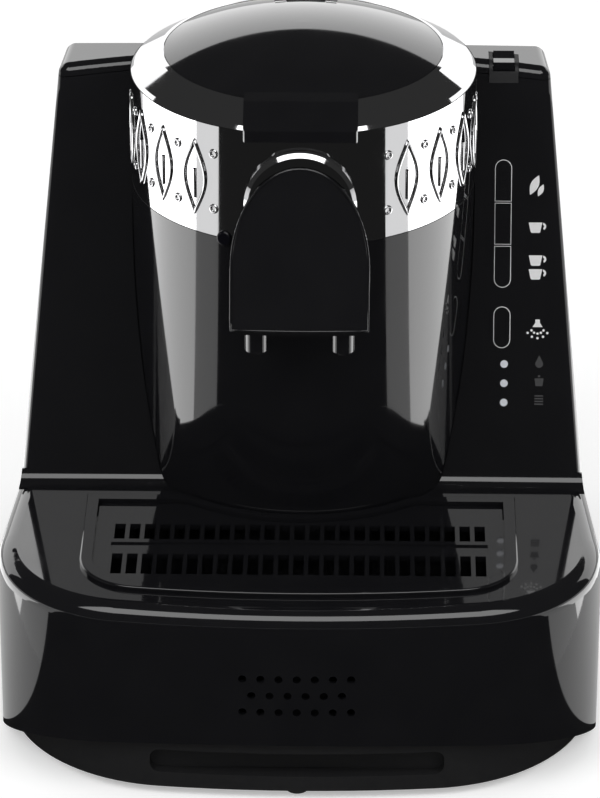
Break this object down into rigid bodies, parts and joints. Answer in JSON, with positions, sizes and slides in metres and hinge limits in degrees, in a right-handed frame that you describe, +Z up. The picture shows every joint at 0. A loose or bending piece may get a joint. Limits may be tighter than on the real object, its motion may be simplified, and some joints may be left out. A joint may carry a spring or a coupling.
{
  "type": "electric turkish coffee maker",
  "caption": "Glossy black counter-top machine that brews Turkish coffee, with a round column, chrome collar, hinged lid, twin spout, drip tray and leaning control shield.",
  "frame": {"origin": "on the table, under the middle of the machine", "axes": "+Z up, +Y towards the rear, +X to the right as seen by the user in front"},
  "size_m": [0.257, 0.288, 0.2888],
  "materials": {
    "gloss_black": "polished moulded plastic",
    "dark_grey": "fine matte moulded plastic",
    "chrome": "bright plated",
    "steel": "brushed",
    "black_rubber": "matte",
    "cast_alloy": "as cast",
    "lens_black": "polished",
    "lens_white": "milky clear",
    "smoked_tank": "smoked clear",
    "board_green": "lacquered"
  },
  "bodies": {
    "machine": {"upper_housing": "gloss_black", "base_fascia": "gloss_black", "base_pan": "dark_grey", "rear_housing": "gloss_black", "top_cover_left": "gloss_black", "top_cover_right": "gloss_black", "column_shell": "gloss_black", "chrome_band": "chrome", "crown_ring": "chrome", "lid_hinge_pin": "steel", "chamber_plate": "dark_grey", "brew_pot": "steel", "pot_seal": "black_rubber", "heater_plate": "cast_alloy", "heater_cradle": "dark_grey", "thermostat": "steel", "spout_body": "gloss_black", "spout_cover": "gloss_black", "nozzle_left": "gloss_black", "nozzle_right": "gloss_black", "spout_collar": "chrome", "sensor_lens": "lens_black", "light_guide": "lens_white", "control_board": "board_green", "buzzer": "dark_grey", "switch_housing": "dark_grey", "tank_shelf": "dark_grey", "pump": "dark_grey", "pump_hose": "black_rubber", "riser_hose": "black_rubber", "power_board": "board_green", "foot_front_middle": "black_rubber", "foot_front_left": "black_rubber", "foot_front_right": "black_rubber", "foot_rear_left": "black_rubber", "foot_rear_right": "black_rubber", "base_screws": "steel", "cable_gland": "dark_grey"},
    "lid": {"brew_lid": "gloss_black", "lid_liner": "steel"},
    "drip_tray_body": {"drip_tray": "gloss_black"},
    "grille_body": {"drip_grille": "gloss_black"},
    "warm_key": {"button_warm": "gloss_black"},
    "one_cup_key": {"button_one_cup": "gloss_black"},
    "two_cups_key": {"button_two_cups": "gloss_black"},
    "clean_key": {"button_clean": "gloss_black"},
    "rocker": {"power_switch": "gloss_black"},
    "tank": {"water_tank": "smoked_tank", "tank_valve": "dark_grey", "tank_hinge_pin": "steel"},
    "tank_cap": {"tank_lid": "dark_grey"}
  },
  "joints": [
    {"name": "lid_hinge", "type": "hinge", "parent": "machine", "child": "lid", "pos_m": [0, 0.0836, 0.2804], "axis": [-1, 0, 0], "range_deg": [0, 92]},
    {"name": "tray_lift", "type": "slide", "parent": "machine", "child": "drip_tray_body", "axis": [0, 0, 1], "range_m": [0, 0.05]},
    {"name": "grille_lift", "type": "slide", "parent": "drip_tray_body", "child": "grille_body", "axis": [0, 0, 1], "range_m": [0, 0.02]},
    {"name": "warm_press", "type": "slide", "parent": "machine", "child": "warm_key", "axis": [0, 0.9397, -0.342], "range_m": [0, 0.0008], "stiffness_N_per_m": 600},
    {"name": "one_cup_press", "type": "slide", "parent": "machine", "child": "one_cup_key", "axis": [0, 0.9397, -0.342], "range_m": [0, 0.0008], "stiffness_N_per_m": 600},
    {"name": "two_cups_press", "type": "slide", "parent": "machine", "child": "two_cups_key", "axis": [0, 0.9397, -0.342], "range_m": [0, 0.0008], "stiffness_N_per_m": 600},
    {"name": "clean_press", "type": "slide", "parent": "machine", "child": "clean_key", "axis": [0, 0.9397, -0.342], "range_m": [0, 0.0008], "stiffness_N_per_m": 600},
    {"name": "power_rocker", "type": "hinge", "parent": "machine", "child": "rocker", "pos_m": [0.0861, 0.04177, 0.2591], "axis": [1, 0, 0], "range_deg": [-6, 6]},
    {"name": "tank_lift", "type": "slide", "parent": "machine", "child": "tank", "axis": [0, 0, 1], "range_m": [0, 0.18]},
    {"name": "tank_lid_hinge", "type": "hinge", "parent": "tank", "child": "tank_cap", "pos_m": [0, 0.12927, 0.2112], "axis": [-1, 0, 0], "range_deg": [0, 95]}
  ]
}
